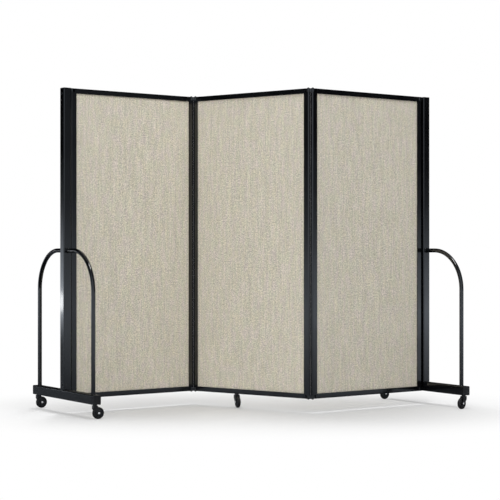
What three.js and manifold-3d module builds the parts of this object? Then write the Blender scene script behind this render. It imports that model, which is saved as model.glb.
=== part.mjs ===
// Ward privacy screen: three fabric panels in slim black frames, folded in a zigzag on two double-pivot
// hinges, with a T-shaped end frame and hoop at each end and five small swivel casters.
// Millimetres, +Z up. The origin is on the floor under the middle of the centre panel, and -Y is the front.
import * as THREE from "three";
import { mergeVertices } from "three/addons/utils/BufferGeometryUtils.js";
import Module from "manifold-3d";

const wasm = await Module();
wasm.setup();

// Clearances
const seatGap = 0.3;
const runningGap = 0.4;
const cutOverrun = 2;
const mergeReach = 1e-4;

// Panel frames
const panelHeight = 1166;
const pivotSpan = 532;
const panelThickness = 15;
const railHeight = 19;
const railEdgeRound = 1.2;
const stileInnerReach = 15.5;
const boardGrip = 5.5;
const slotRelief = 0.5;

// Boards held by the frames
const coreThickness = 4;
const fabricBoardThickness = 1.8;

// Hinges
const foldDegrees = 35;
const noseGap = 1.5;
const linkHeight = 13.5;
const linkWebWidth = 11;
const linkEndGap = 0.5;
const linkSideGap = 0.7;
const rodDiameter = 5.5;
const rodStandOut = 3.5;

// End frames, of a square tube for the post, one a little taller for the beam, and a round tube
const squareTubeSize = 31.75;
const squareTubeWall = 1.5;
const squareTubeRound = 3.5;
const beamHeight = 35;
const beamLength = 486;
const postGap = 3;
const capThickness = 3;
const capPlugDepth = 7;
const spigotDepth = 25;
const hoopTubeDiameter = 16;
const hoopTubeWall = 1.5;
const hoopLegInset = 29;
const hoopRise = 522;
const hoopBendRadius = 150;
const hoopLegDepth = 9;

// Casters
const wheelDiameter = 44;
const wheelWidth = 13;
const treadRound = 5.5;
const treadDepth = 6;
const wheelDish = 1.5;
const hubDiameter = 16;
const axleDiameter = 6;
const axleHeadDiameter = 7.6;
const axleHeadThickness = 1.2;
const armThickness = 2.5;
const armEndDiameter = 14;
const armShoulder = 12;
const crownGap = 1.5;
const crownThickness = 4;
const neckDiameter = 15.5;
const neckHeight = 3.2;
const stemDiameter = 9;
const stemRise = 8;
const casterTrail = 12.5;
const casterInset = 17;
const centreCasterOffset = 65;

// Directions, seen from above and counted from +X, in which each caster trails
const casterTrailDegrees = {
  left_rear: 29,
  left_front: 28,
  centre: -70,
  right_front: 225,
  right_rear: 214,
};

// Facet counts
const roundSides = 12;
const noseSteps = 12;
const cornerSteps = 3;
const hoopSides = 10;
const bendSteps = 7;
const wheelSides = 24;
const armEndSteps = 8;

// Worked out from the sizes above
const noseRadius = panelThickness / 2;
const rodRadius = rodDiameter / 2;
const rodBoreRadius = rodRadius + runningGap;
const hingePitch = panelThickness + noseGap;
const boardThickness = coreThickness + 2 * (fabricBoardThickness + seatGap);
const slotWidth = boardThickness + 2 * seatGap;
const slotDepth = boardGrip + slotRelief;
const openingWidth = pivotSpan - 2 * stileInnerReach;
const wheelRadius = wheelDiameter / 2;
const crownBottom = wheelDiameter + crownGap;
const neckTop = crownBottom + crownThickness + neckHeight;
const panelBottom = neckTop + seatGap;
const panelTop = panelBottom + panelHeight;
const beamTop = panelBottom + beamHeight;
const hoopTop = beamTop + hoopRise;
const hoopLegSpacing = beamLength - 2 * hoopLegInset;
const postOffset = noseRadius + postGap + squareTubeSize / 2;
const foldAngle = THREE.MathUtils.degToRad(foldDegrees);

const black = new THREE.MeshStandardMaterial({ color: 0x1a1b1d, roughness: 0.38, metalness: 0.35 });
const fabric = new THREE.MeshStandardMaterial({ color: 0xbeb6a6, roughness: 0.95, metalness: 0 });
const board = new THREE.MeshStandardMaterial({ color: 0xb59b72, roughness: 0.9, metalness: 0 });
const plastic = new THREE.MeshStandardMaterial({ color: 0x121214, roughness: 0.5, metalness: 0 });
const rubber = new THREE.MeshStandardMaterial({ color: 0x0e0e10, roughness: 0.7, metalness: 0 });
const steel = new THREE.MeshStandardMaterial({ color: 0x2a2b2d, roughness: 0.35, metalness: 0.9 });
const chrome = new THREE.MeshStandardMaterial({ color: 0xd8dadd, roughness: 0.12, metalness: 1 });

function addPiece(parent, name, geometry, material) {
  const mesh = new THREE.Mesh(geometry, material.clone());
  mesh.name = name;
  parent.add(mesh);
  return mesh;
}

function solidOf(geometry) {
  const bare = geometry.clone();
  bare.deleteAttribute("normal");
  bare.deleteAttribute("uv");
  const merged = mergeVertices(bare, mergeReach);
  return new wasm.Manifold(
    new wasm.Mesh({
      numProp: 3,
      vertProperties: new Float32Array(merged.attributes.position.array),
      triVerts: new Uint32Array(merged.index.array),
    }),
  );
}

function geometryOf(solid) {
  const mesh = solid.getMesh();
  const geometry = new THREE.BufferGeometry();
  geometry.setAttribute("position", new THREE.BufferAttribute(mesh.vertProperties, 3));
  geometry.setIndex(new THREE.BufferAttribute(mesh.triVerts, 1));
  geometry.computeVertexNormals();
  return geometry;
}

function cutFrom(geometry, tools) {
  return geometryOf(tools.reduce((solid, tool) => solid.subtract(solidOf(tool)), solidOf(geometry)));
}

function joined(geometries) {
  return geometryOf(geometries.map(solidOf).reduce((solid, other) => solid.add(other)));
}

function arcPoints(centreX, centreY, radius, fromAngle, toAngle, steps) {
  return Array.from({ length: steps + 1 }, (_, i) => {
    const angle = fromAngle + ((toAngle - fromAngle) * i) / steps;
    return new THREE.Vector2(centreX + radius * Math.cos(angle), centreY + radius * Math.sin(angle));
  });
}

function ringPoints(centreX, centreY, radius, sides) {
  return arcPoints(centreX, centreY, radius, 0, 2 * Math.PI, sides).slice(0, sides);
}

// A faceted hole whose flats, not its corners, lie at the given radius
function borePoints(centreX, centreY, radius, sides) {
  return ringPoints(centreX, centreY, radius / Math.cos(Math.PI / sides), sides);
}

function roundedRectPoints(width, height, round) {
  const middleX = width / 2 - round;
  const middleY = height / 2 - round;
  const corners = [
    [middleX, middleY],
    [-middleX, middleY],
    [-middleX, -middleY],
    [middleX, -middleY],
  ];
  return corners.flatMap(([x, y], i) =>
    arcPoints(x, y, round, (i * Math.PI) / 2, ((i + 1) * Math.PI) / 2, cornerSteps),
  );
}

// A flat outline given a length along +Z from a starting height
function prism(outline, holes, fromZ, toZ) {
  const shape = new THREE.Shape(outline);
  shape.holes = holes.map((points) => new THREE.Path(points));
  const geometry = new THREE.ExtrudeGeometry(shape, { depth: toZ - fromZ, bevelEnabled: false });
  return geometry.translate(0, 0, fromZ);
}

function box(fromX, toX, fromY, toY, fromZ, toZ) {
  const geometry = new THREE.BoxGeometry(toX - fromX, toY - fromY, toZ - fromZ);
  return geometry.translate((fromX + toX) / 2, (fromY + toY) / 2, (fromZ + toZ) / 2);
}

function pinAlongZ(x, y, radius, fromZ, toZ) {
  return prism(ringPoints(x, y, radius, roundSides), [], fromZ, toZ);
}

function boreAlongZ(x, y, radius, fromZ, toZ) {
  return prism(borePoints(x, y, radius, roundSides), [], fromZ, toZ);
}

// Panels. Each is built round its own middle: +X along its width, -Y its front.

// The stile's nose is a half round centred on the hinge axis, and its inner edge is slotted for the boards
function stileOutline(side) {
  const pivot = (side * pivotSpan) / 2;
  const inner = pivot - side * stileInnerReach;
  const slotEnd = inner + side * slotDepth;
  const outline = [
    ...arcPoints(pivot, 0, side * noseRadius, -Math.PI / 2, Math.PI / 2, noseSteps),
    new THREE.Vector2(inner, side * noseRadius),
    new THREE.Vector2(inner, (side * slotWidth) / 2),
    new THREE.Vector2(slotEnd, (side * slotWidth) / 2),
    new THREE.Vector2(slotEnd, (-side * slotWidth) / 2),
    new THREE.Vector2(inner, (-side * slotWidth) / 2),
    new THREE.Vector2(inner, -side * noseRadius),
  ];
  return outline;
}

function stileGeometry(side) {
  const pivot = (side * pivotSpan) / 2;
  const bore = borePoints(pivot, 0, rodBoreRadius, roundSides);
  const full = prism(stileOutline(side), [bore], panelBottom, panelTop);
  const notchInner = pivot - side * (noseRadius + linkSideGap);
  const notchOuter = pivot + side * (noseRadius + cutOverrun);
  const notchHalf = noseRadius + cutOverrun;
  const notchHeight = linkHeight + linkEndGap;
  const fromX = Math.min(notchInner, notchOuter);
  const toX = Math.max(notchInner, notchOuter);
  return cutFrom(full, [
    box(fromX, toX, -notchHalf, notchHalf, panelTop - notchHeight, panelTop + cutOverrun),
    box(fromX, toX, -notchHalf, notchHalf, panelBottom - cutOverrun, panelBottom + notchHeight),
  ]);
}

// A rail is a slotted bar; up is 1 for the bottom rail, whose slot faces up, and -1 for the top rail
function railGeometry(up) {
  const outerZ = up > 0 ? panelBottom : panelTop;
  const innerZ = outerZ + up * railHeight;
  const slotZ = innerZ - up * slotDepth;
  const half = panelThickness / 2;
  const slotHalf = slotWidth / 2;
  const outline = [
    new THREE.Vector2(-slotHalf, slotZ),
    new THREE.Vector2(-slotHalf, innerZ),
    new THREE.Vector2(-half, innerZ),
    new THREE.Vector2(-half, outerZ + up * railEdgeRound),
    new THREE.Vector2(-half + railEdgeRound, outerZ),
    new THREE.Vector2(half - railEdgeRound, outerZ),
    new THREE.Vector2(half, outerZ + up * railEdgeRound),
    new THREE.Vector2(half, innerZ),
    new THREE.Vector2(slotHalf, innerZ),
    new THREE.Vector2(slotHalf, slotZ),
  ];
  const halfLength = openingWidth / 2 - seatGap;
  const bar = prism(outline, [], -halfLength, halfLength);
  bar.rotateX(Math.PI / 2);
  bar.rotateZ(Math.PI / 2);
  return bar;
}

function bottomRailWithStemHole(stemX) {
  const stemHoleTop = panelBottom + stemRise + seatGap;
  const hole = boreAlongZ(stemX, 0, stemDiameter / 2 + runningGap, panelBottom - cutOverrun, stemHoleTop);
  return cutFrom(railGeometry(1), [hole]);
}

function boardGeometry(fromY, toY) {
  const halfWidth = openingWidth / 2 + boardGrip;
  const fromZ = panelBottom + railHeight - boardGrip;
  const toZ = panelTop - railHeight + boardGrip;
  return box(-halfWidth, halfWidth, fromY, toY, fromZ, toZ);
}

function addPanel(parent, name, stemX) {
  const coreHalf = coreThickness / 2;
  const boardHalf = boardThickness / 2;
  const bottomRail = stemX === null ? railGeometry(1) : bottomRailWithStemHole(stemX);
  addPiece(parent, `${name}_panel_left_stile`, stileGeometry(-1), black);
  addPiece(parent, `${name}_panel_right_stile`, stileGeometry(1), black);
  addPiece(parent, `${name}_panel_top_rail`, railGeometry(-1), black);
  addPiece(parent, `${name}_panel_bottom_rail`, bottomRail, black);
  addPiece(parent, `${name}_panel_core_board`, boardGeometry(-coreHalf, coreHalf), board);
  addPiece(parent, `${name}_panel_front_fabric`, boardGeometry(-boardHalf, -coreHalf - seatGap), fabric);
  addPiece(parent, `${name}_panel_back_fabric`, boardGeometry(coreHalf + seatGap, boardHalf), fabric);
}

// Hinges. Each is built round its middle, with its two rods hingePitch apart along X.

// Two round eyes on the rods, joined by a narrower web
function linkOutline() {
  const eye = hingePitch / 2;
  const webAngle = Math.asin(linkWebWidth / 2 / noseRadius);
  return [
    ...arcPoints(eye, 0, noseRadius, webAngle - Math.PI, Math.PI - webAngle, noseSteps),
    ...arcPoints(-eye, 0, noseRadius, webAngle, 2 * Math.PI - webAngle, noseSteps),
  ];
}

function addHinge(parent, name) {
  const eye = hingePitch / 2;
  const bores = [eye, -eye].map((x) => borePoints(x, 0, rodBoreRadius, roundSides));
  const topLink = prism(linkOutline(), bores, panelTop - linkHeight, panelTop);
  const bottomLink = prism(linkOutline(), bores, panelBottom, panelBottom + linkHeight);
  addPiece(parent, `${name}_hinge_top_link`, topLink, steel);
  addPiece(parent, `${name}_hinge_bottom_link`, bottomLink, steel);
  for (const [side, x] of [["left", -eye], ["right", eye]]) {
    const rod = pinAlongZ(x, 0, rodRadius, panelBottom - rodStandOut, panelTop + rodStandOut);
    addPiece(parent, `${name}_hinge_${side}_rod`, rod, steel);
  }
}

// End frames. Each is built round its post: Y along the base beam, and inward is the X side of its panel.

// A tube along Z, its section squareTubeSize wide in X and of this height in Y
function squareTube(height, fromZ, toZ) {
  const outer = roundedRectPoints(squareTubeSize, height, squareTubeRound);
  const innerWidth = squareTubeSize - 2 * squareTubeWall;
  const inner = roundedRectPoints(innerWidth, height - 2 * squareTubeWall, squareTubeRound - squareTubeWall);
  return prism(outer, [inner], fromZ, toZ);
}

function addPost(parent, name) {
  const hoopBore = boreAlongZ(0, 0, hoopTubeDiameter / 2 + runningGap, -squareTubeSize, squareTubeSize);
  hoopBore.rotateX(Math.PI / 2);
  hoopBore.translate(0, 0, hoopTop);
  const tube = squareTube(squareTubeSize, beamTop + seatGap, panelTop - capThickness - seatGap);
  addPiece(parent, `${name}_post`, cutFrom(tube, [hoopBore]), black);
}

// A plate that closes the square tube, with a plug that fits inside it. It faces +Z from the tube's end at 0.
function capGeometry(height) {
  const plugInset = 2 * (squareTubeWall + seatGap);
  const plugRound = squareTubeRound - squareTubeWall;
  const plateOutline = roundedRectPoints(squareTubeSize, height, squareTubeRound);
  const plugOutline = roundedRectPoints(squareTubeSize - plugInset, height - plugInset, plugRound);
  const plate = prism(plateOutline, [], seatGap, seatGap + capThickness);
  const plug = prism(plugOutline, [], -capPlugDepth, seatGap + capThickness / 2);
  return joined([plate, plug]);
}

function addBeam(parent, name) {
  const legBoreRadius = hoopTubeDiameter / 2 + runningGap;
  const stemBoreRadius = stemDiameter / 2 + runningGap;
  const middleZ = panelBottom + beamHeight / 2;
  const halfLength = beamLength / 2 - capThickness - seatGap;
  const tube = squareTube(beamHeight, -halfLength, halfLength);
  tube.rotateX(Math.PI / 2);
  tube.translate(0, 0, middleZ);
  const holes = [-1, 1].flatMap((end) => [
    boreAlongZ(0, (end * hoopLegSpacing) / 2, legBoreRadius, middleZ, beamTop + cutOverrun),
    boreAlongZ(0, end * (beamLength / 2 - casterInset), stemBoreRadius, panelBottom - cutOverrun, middleZ),
  ]);
  addPiece(parent, `${name}_base_beam`, cutFrom(tube, holes), black);
  for (const [end, side] of [["front", -1], ["rear", 1]]) {
    const cap = capGeometry(beamHeight);
    cap.rotateX((-side * Math.PI) / 2);
    cap.translate(0, side * halfLength, middleZ);
    addPiece(parent, `${name}_beam_${end}_cap`, cap, plastic);
  }
}

// The hoop's centre line, up one leg, over and down the other. Each straight is one step, each bend several.
class HoopLine extends THREE.Curve {
  constructor(fromZ) {
    super();
    const side = hoopLegSpacing / 2;
    const shoulder = side - hoopBendRadius;
    const bendZ = hoopTop - hoopBendRadius;
    this.runs = [
      { steps: 1, at: (t) => [-side, fromZ + (bendZ - fromZ) * t] },
      { steps: bendSteps, at: (t) => this.bend(-shoulder, bendZ, Math.PI * (1 - t / 2)) },
      { steps: 1, at: (t) => [shoulder * (2 * t - 1), hoopTop] },
      { steps: bendSteps, at: (t) => this.bend(shoulder, bendZ, (Math.PI * (1 - t)) / 2) },
      { steps: 1, at: (t) => [side, bendZ + (fromZ - bendZ) * t] },
    ];
    this.steps = this.runs.reduce((sum, run) => sum + run.steps, 0);
  }

  bend(centreY, centreZ, angle) {
    return [centreY + hoopBendRadius * Math.cos(angle), centreZ + hoopBendRadius * Math.sin(angle)];
  }

  getPoint(t) {
    let left = t * this.steps;
    const last = this.runs.length - 1;
    const index = this.runs.findIndex((run, i) => i === last || left <= run.steps || !(left -= run.steps));
    const [y, z] = this.runs[index].at(left / this.runs[index].steps);
    return new THREE.Vector3(0, y, z);
  }

  getPointAt(u) {
    return this.getPoint(u);
  }

  getTangentAt(u) {
    return this.getTangent(u);
  }
}

function addHoop(parent, name) {
  const line = new HoopLine(beamTop - hoopLegDepth);
  const shape = new THREE.Shape(ringPoints(0, 0, hoopTubeDiameter / 2, hoopSides));
  shape.holes = [new THREE.Path(ringPoints(0, 0, hoopTubeDiameter / 2 - hoopTubeWall, hoopSides))];
  const settings = { extrudePath: line, steps: line.steps, bevelEnabled: false };
  const tube = new THREE.ExtrudeGeometry(shape, settings);
  addPiece(parent, `${name}_hoop`, tube, black);
}

// A bracket holds the end stile to the post: an eye over the stile's bore, a web to the post and a spigot
// that stands in the bore
function bracketGeometry(inward, up) {
  const eyeX = inward * postOffset;
  const faceX = inward * (squareTubeSize / 2 + seatGap);
  const outerZ = up > 0 ? panelBottom : panelTop;
  const innerZ = outerZ + up * linkHeight;
  const spigotZ = innerZ + up * spigotDepth;
  const webHalf = linkWebWidth / 2;
  const [fromX, toX] = [Math.min(eyeX, faceX), Math.max(eyeX, faceX)];
  const [fromZ, toZ] = [Math.min(outerZ, innerZ), Math.max(outerZ, innerZ)];
  const rootZ = (outerZ + innerZ) / 2;
  return joined([
    pinAlongZ(eyeX, 0, noseRadius, fromZ, toZ),
    box(fromX, toX, -webHalf, webHalf, fromZ, toZ),
    pinAlongZ(eyeX, 0, rodRadius, Math.min(rootZ, spigotZ), Math.max(rootZ, spigotZ)),
  ]);
}

function addEndFrame(parent, name, inward) {
  addPost(parent, name);
  const cap = capGeometry(squareTubeSize);
  cap.translate(0, 0, panelTop - capThickness - seatGap);
  addPiece(parent, `${name}_post_cap`, cap, plastic);
  addBeam(parent, name);
  addHoop(parent, name);
  addPiece(parent, `${name}_top_bracket`, bracketGeometry(inward, -1), black);
  addPiece(parent, `${name}_bottom_bracket`, bracketGeometry(inward, 1), black);
}

// Casters. Each is built round its stem, trailing along +X.

// A leg that drops from the crown and leans back to the axle
function armOutline() {
  const neck = neckDiameter / 2;
  const end = armEndDiameter / 2;
  const top = crownBottom + crownThickness;
  const lean = Math.atan2(casterTrail, top - wheelRadius);
  return [
    new THREE.Vector2(neck, top),
    new THREE.Vector2(-neck, top),
    new THREE.Vector2(-neck, top - armShoulder),
    ...arcPoints(casterTrail, wheelRadius, end, Math.PI + lean, 2 * Math.PI + lean, armEndSteps),
  ];
}

function armGeometry(side) {
  const innerY = wheelWidth / 2 + runningGap;
  const hole = borePoints(casterTrail, wheelRadius, axleDiameter / 2 + seatGap, roundSides);
  const arm = prism(armOutline(), [hole], innerY, innerY + armThickness);
  arm.rotateX(Math.PI / 2);
  return side > 0 ? arm.translate(0, 2 * innerY + armThickness, 0) : arm;
}

function forkGeometry() {
  const neck = neckDiameter / 2;
  const half = wheelWidth / 2 + runningGap + armThickness;
  const crownTop = crownBottom + crownThickness;
  return joined([
    armGeometry(-1),
    armGeometry(1),
    box(-neck, neck, -half, half, crownBottom, crownTop),
    pinAlongZ(0, 0, neck, crownBottom, neckTop),
    pinAlongZ(0, 0, stemDiameter / 2, crownBottom, panelBottom + stemRise),
  ]);
}

// The tread is a rounded band round a dished disc and a hub, and its flats lie at the wheel's radius
function wheelGeometry() {
  const half = wheelWidth / 2;
  const hub = hubDiameter / 2;
  const bore = axleDiameter / 2 + seatGap;
  const rim = wheelRadius - treadDepth;
  const shoulder = wheelRadius - treadRound;
  const edge = half - treadRound;
  const profile = [
    new THREE.Vector2(bore, -half),
    new THREE.Vector2(hub, -half),
    new THREE.Vector2(hub, -half + wheelDish),
    new THREE.Vector2(rim, -half + wheelDish),
    ...arcPoints(shoulder, -edge, treadRound, -Math.PI / 2, 0, cornerSteps),
    ...arcPoints(shoulder, edge, treadRound, 0, Math.PI / 2, cornerSteps),
    new THREE.Vector2(rim, half - wheelDish),
    new THREE.Vector2(hub, half - wheelDish),
    new THREE.Vector2(hub, half),
    new THREE.Vector2(bore, half),
    new THREE.Vector2(bore, -half),
  ];
  const reach = 1 / Math.cos(Math.PI / wheelSides);
  const wheel = new THREE.LatheGeometry(profile, wheelSides, Math.PI / wheelSides);
  return wheel.scale(reach, 1, reach);
}

function axleGeometry() {
  const shank = axleDiameter / 2;
  const head = axleHeadDiameter / 2;
  const seat = wheelWidth / 2 + runningGap + armThickness + seatGap;
  const end = seat + axleHeadThickness;
  const profile = [
    new THREE.Vector2(0, -end),
    new THREE.Vector2(shank, -end),
    new THREE.Vector2(head, -end + axleHeadThickness / 2),
    new THREE.Vector2(head, -seat),
    new THREE.Vector2(shank, -seat),
    new THREE.Vector2(shank, seat),
    new THREE.Vector2(head, seat),
    new THREE.Vector2(head, end - axleHeadThickness / 2),
    new THREE.Vector2(shank, end),
    new THREE.Vector2(0, end),
  ];
  return new THREE.LatheGeometry(profile, roundSides);
}

// parentTurn is how far the group that carries the caster is itself turned
function addCaster(parent, name, x, y, parentTurn) {
  const caster = new THREE.Group();
  caster.position.set(x, y, 0);
  caster.rotation.z = THREE.MathUtils.degToRad(casterTrailDegrees[name]) - parentTurn;
  parent.add(caster);
  addPiece(caster, `${name}_caster_fork`, forkGeometry(), plastic);
  const wheel = addPiece(caster, `${name}_caster_wheel`, wheelGeometry(), rubber);
  wheel.position.set(casterTrail, 0, wheelRadius);
  const axle = addPiece(caster, `${name}_caster_axle`, axleGeometry(), chrome);
  axle.position.set(casterTrail, 0, wheelRadius);
}

// The whole screen. The centre panel leans back to the left; the outer panels lean the other way.

function addTurned(parent, x, y, turn) {
  const group = new THREE.Group();
  group.position.set(x, y, 0);
  group.rotation.z = turn;
  parent.add(group);
  return group;
}

const screen = new THREE.Group();
const hingeX = (pivotSpan / 2) * Math.cos(foldAngle) + hingePitch / 2;
const hingeY = (pivotSpan / 2) * Math.sin(foldAngle);
const outerX = hingeX + hingePitch / 2 + (pivotSpan / 2) * Math.cos(foldAngle);

const centrePanel = addTurned(screen, 0, 0, -foldAngle);
addPanel(centrePanel, "centre", -centreCasterOffset);
addCaster(centrePanel, "centre", -centreCasterOffset, 0, -foldAngle);

for (const [name, side] of [["left", -1], ["right", 1]]) {
  addHinge(addTurned(screen, side * hingeX, -side * hingeY, 0), name);
  const panel = addTurned(screen, side * outerX, 0, foldAngle);
  addPanel(panel, name, null);
  const endFrame = addTurned(panel, side * (pivotSpan / 2 + postOffset), 0, 0);
  addEndFrame(endFrame, name, -side);
  const stemY = beamLength / 2 - casterInset;
  addCaster(endFrame, `${name}_front`, 0, -stemY, foldAngle);
  addCaster(endFrame, `${name}_rear`, 0, stemY, foldAngle);
}

export default screen;
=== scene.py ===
"""Looks of a ward privacy screen: three cloth panels in slim black frames on double-pivot hinges, with a base beam,
post and hoop at each end and five small swivel casters. Metres, +Z up, -Y the front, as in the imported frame."""

import math

import bmesh
import bpy
from mathutils import Matrix, Vector


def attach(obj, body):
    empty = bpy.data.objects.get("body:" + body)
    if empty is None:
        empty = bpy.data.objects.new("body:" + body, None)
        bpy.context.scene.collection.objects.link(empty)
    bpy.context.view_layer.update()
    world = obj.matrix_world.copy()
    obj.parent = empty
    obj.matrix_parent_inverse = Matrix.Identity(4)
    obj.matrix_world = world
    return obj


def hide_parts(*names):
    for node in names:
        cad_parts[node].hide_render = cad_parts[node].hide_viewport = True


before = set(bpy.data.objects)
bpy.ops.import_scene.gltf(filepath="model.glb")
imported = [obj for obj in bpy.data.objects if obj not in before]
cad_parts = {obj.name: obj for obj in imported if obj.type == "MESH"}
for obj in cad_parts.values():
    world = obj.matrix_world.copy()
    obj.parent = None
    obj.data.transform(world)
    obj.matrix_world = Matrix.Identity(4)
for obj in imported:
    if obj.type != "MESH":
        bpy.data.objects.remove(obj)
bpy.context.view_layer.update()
bpy.ops.object.select_all(action="DESELECT")

# Panel frames: stiles.
# Black coated aluminium extrusions, one up each side of a panel. The outer edge is a half round about the hinge's
# rod, the inner edge is slotted for the boards, and both ends are notched for the hinge's links.

MM = 0.001
PANEL_BOTTOM = 53 * MM
PANEL_TOP = 1219 * MM
PANEL_HALF_DEPTH = 7.5 * MM
PIVOT_SPAN = 532 * MM
STILE_REACH = 15.5 * MM
SLOT_HALF = 4.4 * MM
SLOT_DEPTH = 6 * MM
NOTCH_HEIGHT = 14 * MM
NOTCH_REACH = 8.2 * MM
ROD_BORE = 3.15 * MM
NOSE_RADIUS = 8.19 * MM
LIP_ROUND = 0.5 * MM
NOSE_SIDES = 72
STILE_BORE_SIDES = 24
OVERRUN = 4 * MM
FOLD = math.radians(35)
HINGE_PITCH = 16.5 * MM
SHARP_DEGREES = 35
MERGE_DISTANCE = 0.01 * MM
SLIVER_LENGTH = 0.001 * MM


def only(piece):
    """Selects one piece and makes it the active one."""
    bpy.ops.object.select_all(action="DESELECT")
    piece.select_set(True)
    bpy.context.view_layer.objects.active = piece
    return piece


def named(name):
    piece = bpy.context.active_object
    piece.name = name
    piece.data.name = name
    return only(piece)


def block(name, low, high):
    """A block between two corners."""
    size = [b - a for a, b in zip(low, high)]
    middle = [(a + b) / 2 for a, b in zip(low, high)]
    bpy.ops.mesh.primitive_cube_add(size=1, location=middle, scale=size)
    bpy.ops.object.transform_apply(location=True, rotation=True, scale=True)
    return named(name)


def bar(name, radius, start, end, sides=40):
    """A round bar from one point to another."""
    start, end = Vector(start), Vector(end)
    along = end - start
    turn = along.to_track_quat("Z", "Y").to_euler()
    bpy.ops.mesh.primitive_cylinder_add(
        vertices=sides, radius=radius, depth=along.length, location=(start + end) / 2, rotation=turn
    )
    bpy.ops.object.transform_apply(location=True, rotation=True, scale=True)
    return named(name)


def pick(piece, kind, test):
    """Opens a piece in edit mode with the faces, edges or corners selected whose middle passes the test."""
    only(piece)
    bpy.ops.object.mode_set(mode="EDIT")
    bpy.ops.mesh.select_mode(type=kind)
    bpy.ops.mesh.select_all(action="DESELECT")
    mesh = bmesh.from_edit_mesh(piece.data)
    parts = {"FACE": mesh.faces, "EDGE": mesh.edges, "VERT": mesh.verts}[kind]
    for part in parts:
        points = [part.co] if kind == "VERT" else [corner.co for corner in part.verts]
        if test(sum(points, Vector()) / len(points), part):
            part.select_set(True)
    mesh.select_flush_mode()
    bmesh.update_edit_mesh(piece.data)


def close_edit():
    bpy.ops.object.mode_set(mode="OBJECT")


def every(middle, part):
    """A test that all faces, edges or corners pass."""
    return True


def runs_along(edge, axis):
    """True where an edge is parallel to an axis."""
    along = (edge.verts[1].co - edge.verts[0].co).normalized()
    return math.isclose(abs(along[axis]), 1, abs_tol=0.001)


def round_edges(piece, test, radius, steps):
    """Rounds the edges that pass the test."""
    pick(piece, "EDGE", test)
    bpy.ops.mesh.bevel(offset=radius, segments=steps, profile=0.5, clamp_overlap=True)
    close_edit()


def applied(piece, kind, **settings):
    """Adds a modifier, sets it and applies it."""
    only(piece)
    modifier = piece.modifiers.new(kind.lower(), kind)
    for name, value in settings.items():
        setattr(modifier, name, value)
    bpy.ops.object.modifier_apply(modifier=modifier.name)
    return piece


def cut_with(piece, *cutters, operation="DIFFERENCE"):
    """Cuts each cutter from a piece, or welds it on, and removes the cutter."""
    for cutter in cutters:
        applied(piece, "BOOLEAN", object=cutter, operation=operation, solver="EXACT")
        bpy.data.objects.remove(cutter)
    return only(piece)


def weld_on(piece, *others):
    return cut_with(piece, *others, operation="UNION")


def smooth_shaded(degrees=SHARP_DEGREES):
    """Shades the active piece smooth, apart from its sharp edges."""
    bpy.ops.object.shade_smooth_by_angle(angle=math.radians(degrees))


def soften(piece, radius, steps=2):
    """Breaks the sharp edges that are left, and smooths the shading of the rest while flat faces stay flat."""
    applied(
        piece, "BEVEL", width=radius, segments=steps, limit_method="ANGLE", angle_limit=math.radians(SHARP_DEGREES),
        use_clamp_overlap=True, miter_outer="MITER_ARC",
    )
    pick(piece, "VERT", every)
    bpy.ops.mesh.remove_doubles(threshold=MERGE_DISTANCE)
    bpy.ops.mesh.dissolve_degenerate(threshold=SLIVER_LENGTH)
    bpy.ops.mesh.normals_make_consistent(inside=False)
    close_edit()
    smooth_shaded()
    return applied(piece, "WEIGHTED_NORMAL", keep_sharp=True)


def put(piece, place, name):
    """Copies a piece, with a mesh of its own, to its place in the screen."""
    copy = piece.copy()
    copy.data = piece.data.copy()
    copy.data.transform(place)
    bpy.context.scene.collection.objects.link(copy)
    copy.name = name
    copy.data.name = name
    return copy


def dropped(*models):
    """Removes the models that were copied."""
    for model in models:
        bpy.data.objects.remove(model)


class Field:
    """A value in a finish's node tree. Arithmetic on it adds Math nodes."""

    def __init__(self, finish, socket):
        self.finish = finish
        self.socket = socket

    def math(self, operation, *values):
        return self.finish.add("ShaderNodeMath", {"operation": operation}, *values)

    def __add__(self, other):
        return self.math("ADD", self, other)

    def __sub__(self, other):
        return self.math("SUBTRACT", self, other)

    def __rsub__(self, other):
        return self.math("SUBTRACT", other, self)

    def __mul__(self, other):
        return self.math("MULTIPLY", self, other)

    def __abs__(self):
        return self.math("ABSOLUTE", self)

    __radd__ = __add__


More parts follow.
